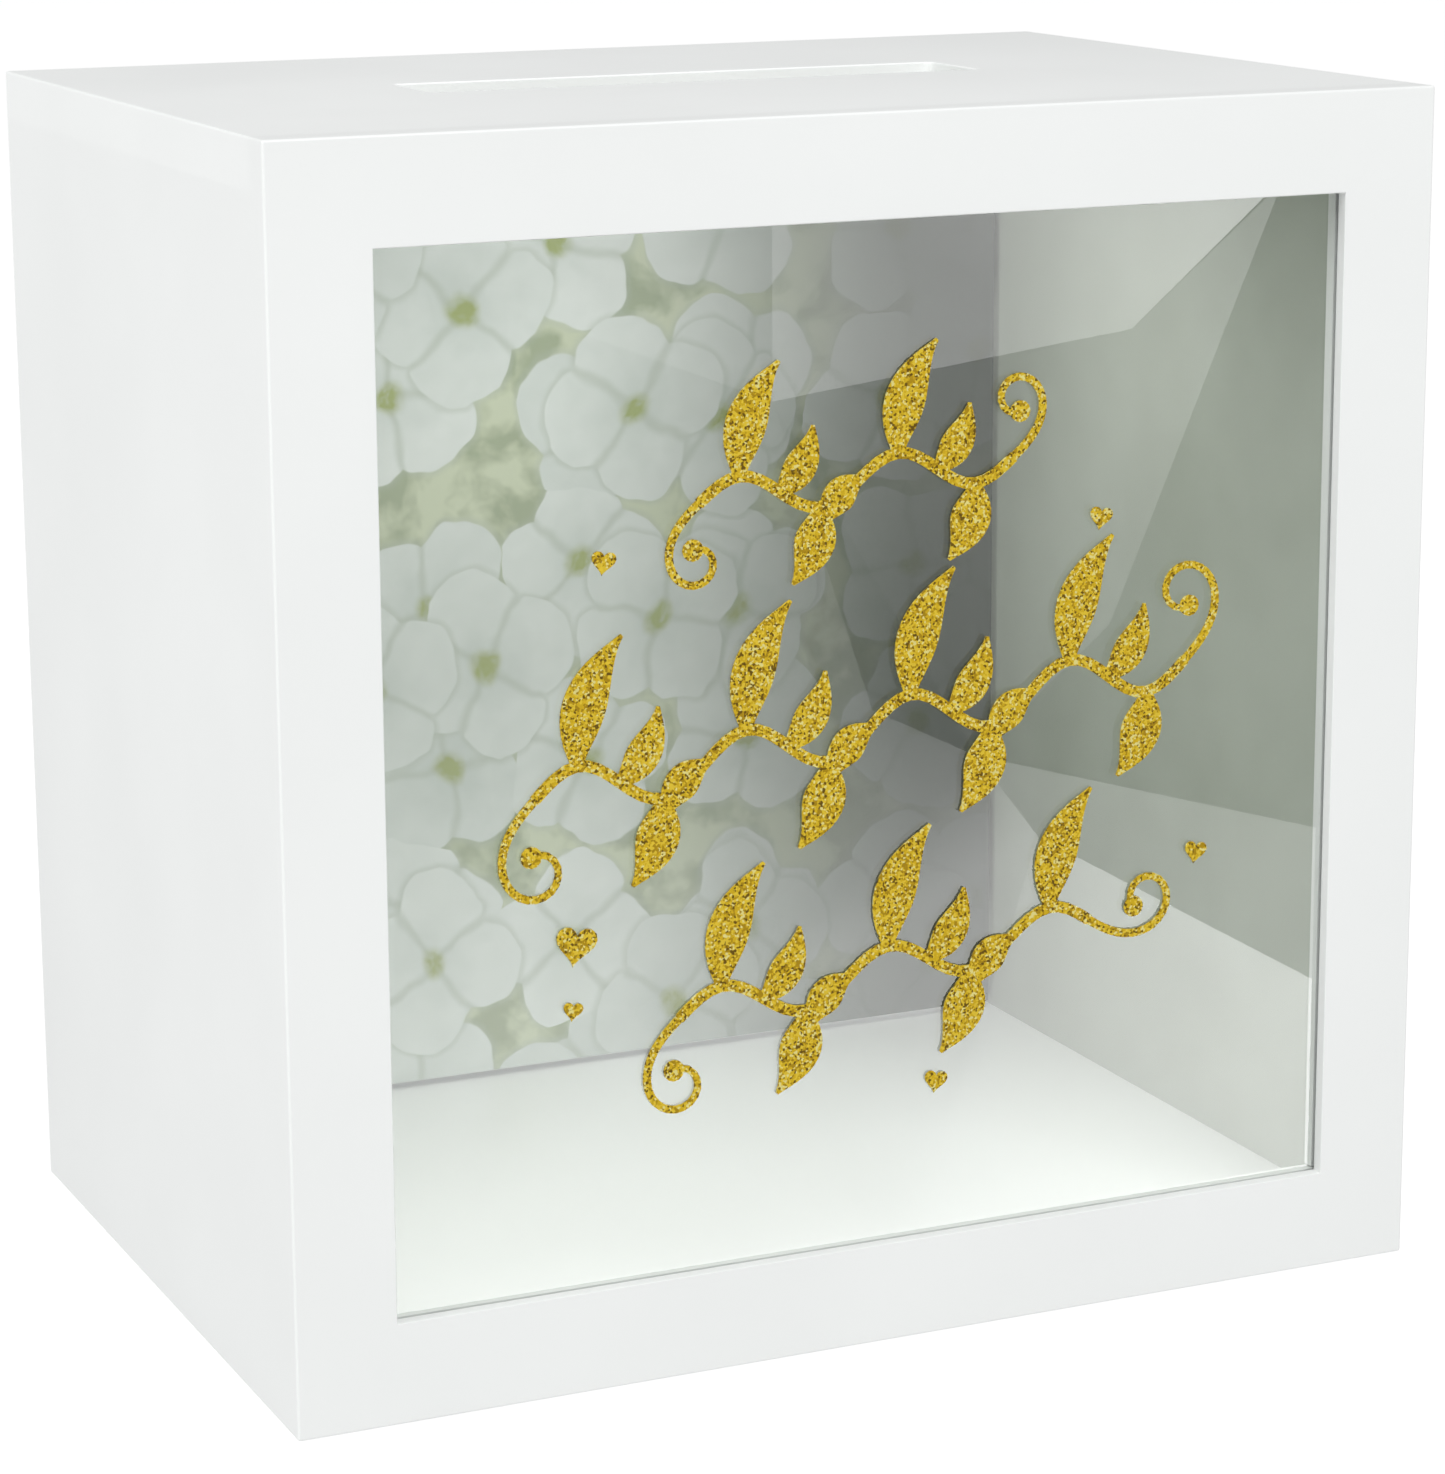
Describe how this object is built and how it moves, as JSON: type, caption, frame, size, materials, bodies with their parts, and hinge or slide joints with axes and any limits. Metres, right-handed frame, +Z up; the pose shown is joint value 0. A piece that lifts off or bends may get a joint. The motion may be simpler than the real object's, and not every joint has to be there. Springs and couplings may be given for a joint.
{
  "type": "wedding card box",
  "caption": "White lacquered box with a glazed front frame, gold vine and heart film on the pane, a posting slot in the top and a hinged back door held by a magnetic catch.",
  "frame": {"origin": "centre of the bounding box on the plane the felt pads stand on, the door knob included in the box", "axes": "+Z up, -Y out of the glazed front, +Y out of the back door, +X to the right when looking at the front"},
  "size_m": [0.3, 0.2264, 0.3018],
  "materials": {
    "white_lacquer": "satin white lacquer on MDF",
    "pane_glass": "clear float glass",
    "printed_card": "matt printed card, white hydrangeas on sage green",
    "gold_glitter_film": "gold glitter film",
    "nickel_plated_steel": "satin nickel plate",
    "ferrite": "bare sintered ferrite",
    "catch_plastic": "moulded",
    "beech": "bare",
    "felt": "pressed felt"
  },
  "bodies": {
    "case": {"bottom_board": "white_lacquer", "catch_body": "catch_plastic", "catch_magnet": "ferrite", "catch_pole_inner": "nickel_plated_steel", "catch_pole_outer": "nickel_plated_steel", "catch_screw_lower": "nickel_plated_steel", "catch_screw_upper": "nickel_plated_steel", "dowel_left_bottom_front": "beech", "dowel_left_bottom_rear": "beech", "dowel_left_top_front": "beech", "dowel_left_top_rear": "beech", "dowel_right_bottom_front": "beech", "dowel_right_bottom_rear": "beech", "dowel_right_top_front": "beech", "dowel_right_top_rear": "beech", "felt_pad_front_left": "felt", "felt_pad_front_right": "felt", "felt_pad_rear_left": "felt", "felt_pad_rear_right": "felt", "front_frame": "white_lacquer", "glass_bead_bottom": "white_lacquer", "glass_bead_left": "white_lacquer", "glass_bead_right": "white_lacquer", "glass_bead_top": "white_lacquer", "glass_pane": "pane_glass", "gold_heart_bottom": "gold_glitter_film", "gold_heart_left_large": "gold_glitter_film", "gold_heart_left_small": "gold_glitter_film", "gold_heart_right": "gold_glitter_film", "gold_heart_top_left": "gold_glitter_film", "gold_heart_top_right": "gold_glitter_film", "gold_vine_bottom": "gold_glitter_film", "gold_vine_middle": "gold_glitter_film", "gold_vine_top": "gold_glitter_film", "hinge_lower_frame_leaf": "nickel_plated_steel", "hinge_lower_frame_screw_high": "nickel_plated_steel", "hinge_lower_frame_screw_low": "nickel_plated_steel", "hinge_lower_pin": "nickel_plated_steel", "hinge_upper_frame_leaf": "nickel_plated_steel", "hinge_upper_frame_screw_high": "nickel_plated_steel", "hinge_upper_frame_screw_low": "nickel_plated_steel", "hinge_upper_pin": "nickel_plated_steel", "left_side": "white_lacquer", "right_side": "white_lacquer", "top_board": "white_lacquer"},
    "door": {"back_door": "white_lacquer", "backing_print": "printed_card", "door_knob": "white_lacquer", "hinge_lower_door_leaf": "nickel_plated_steel", "hinge_lower_door_screw_high": "nickel_plated_steel", "hinge_lower_door_screw_low": "nickel_plated_steel", "hinge_upper_door_leaf": "nickel_plated_steel", "hinge_upper_door_screw_high": "nickel_plated_steel", "hinge_upper_door_screw_low": "nickel_plated_steel", "knob_screw": "nickel_plated_steel", "strike_plate": "nickel_plated_steel", "strike_screw": "nickel_plated_steel"}
  },
  "joints": [
    {"name": "door_hinge", "type": "hinge", "parent": "case", "child": "door", "pos_m": [0.13725, 0.09935, 0.1518], "axis": [0, 0, -1], "range_deg": [0, 170]}
  ]
}
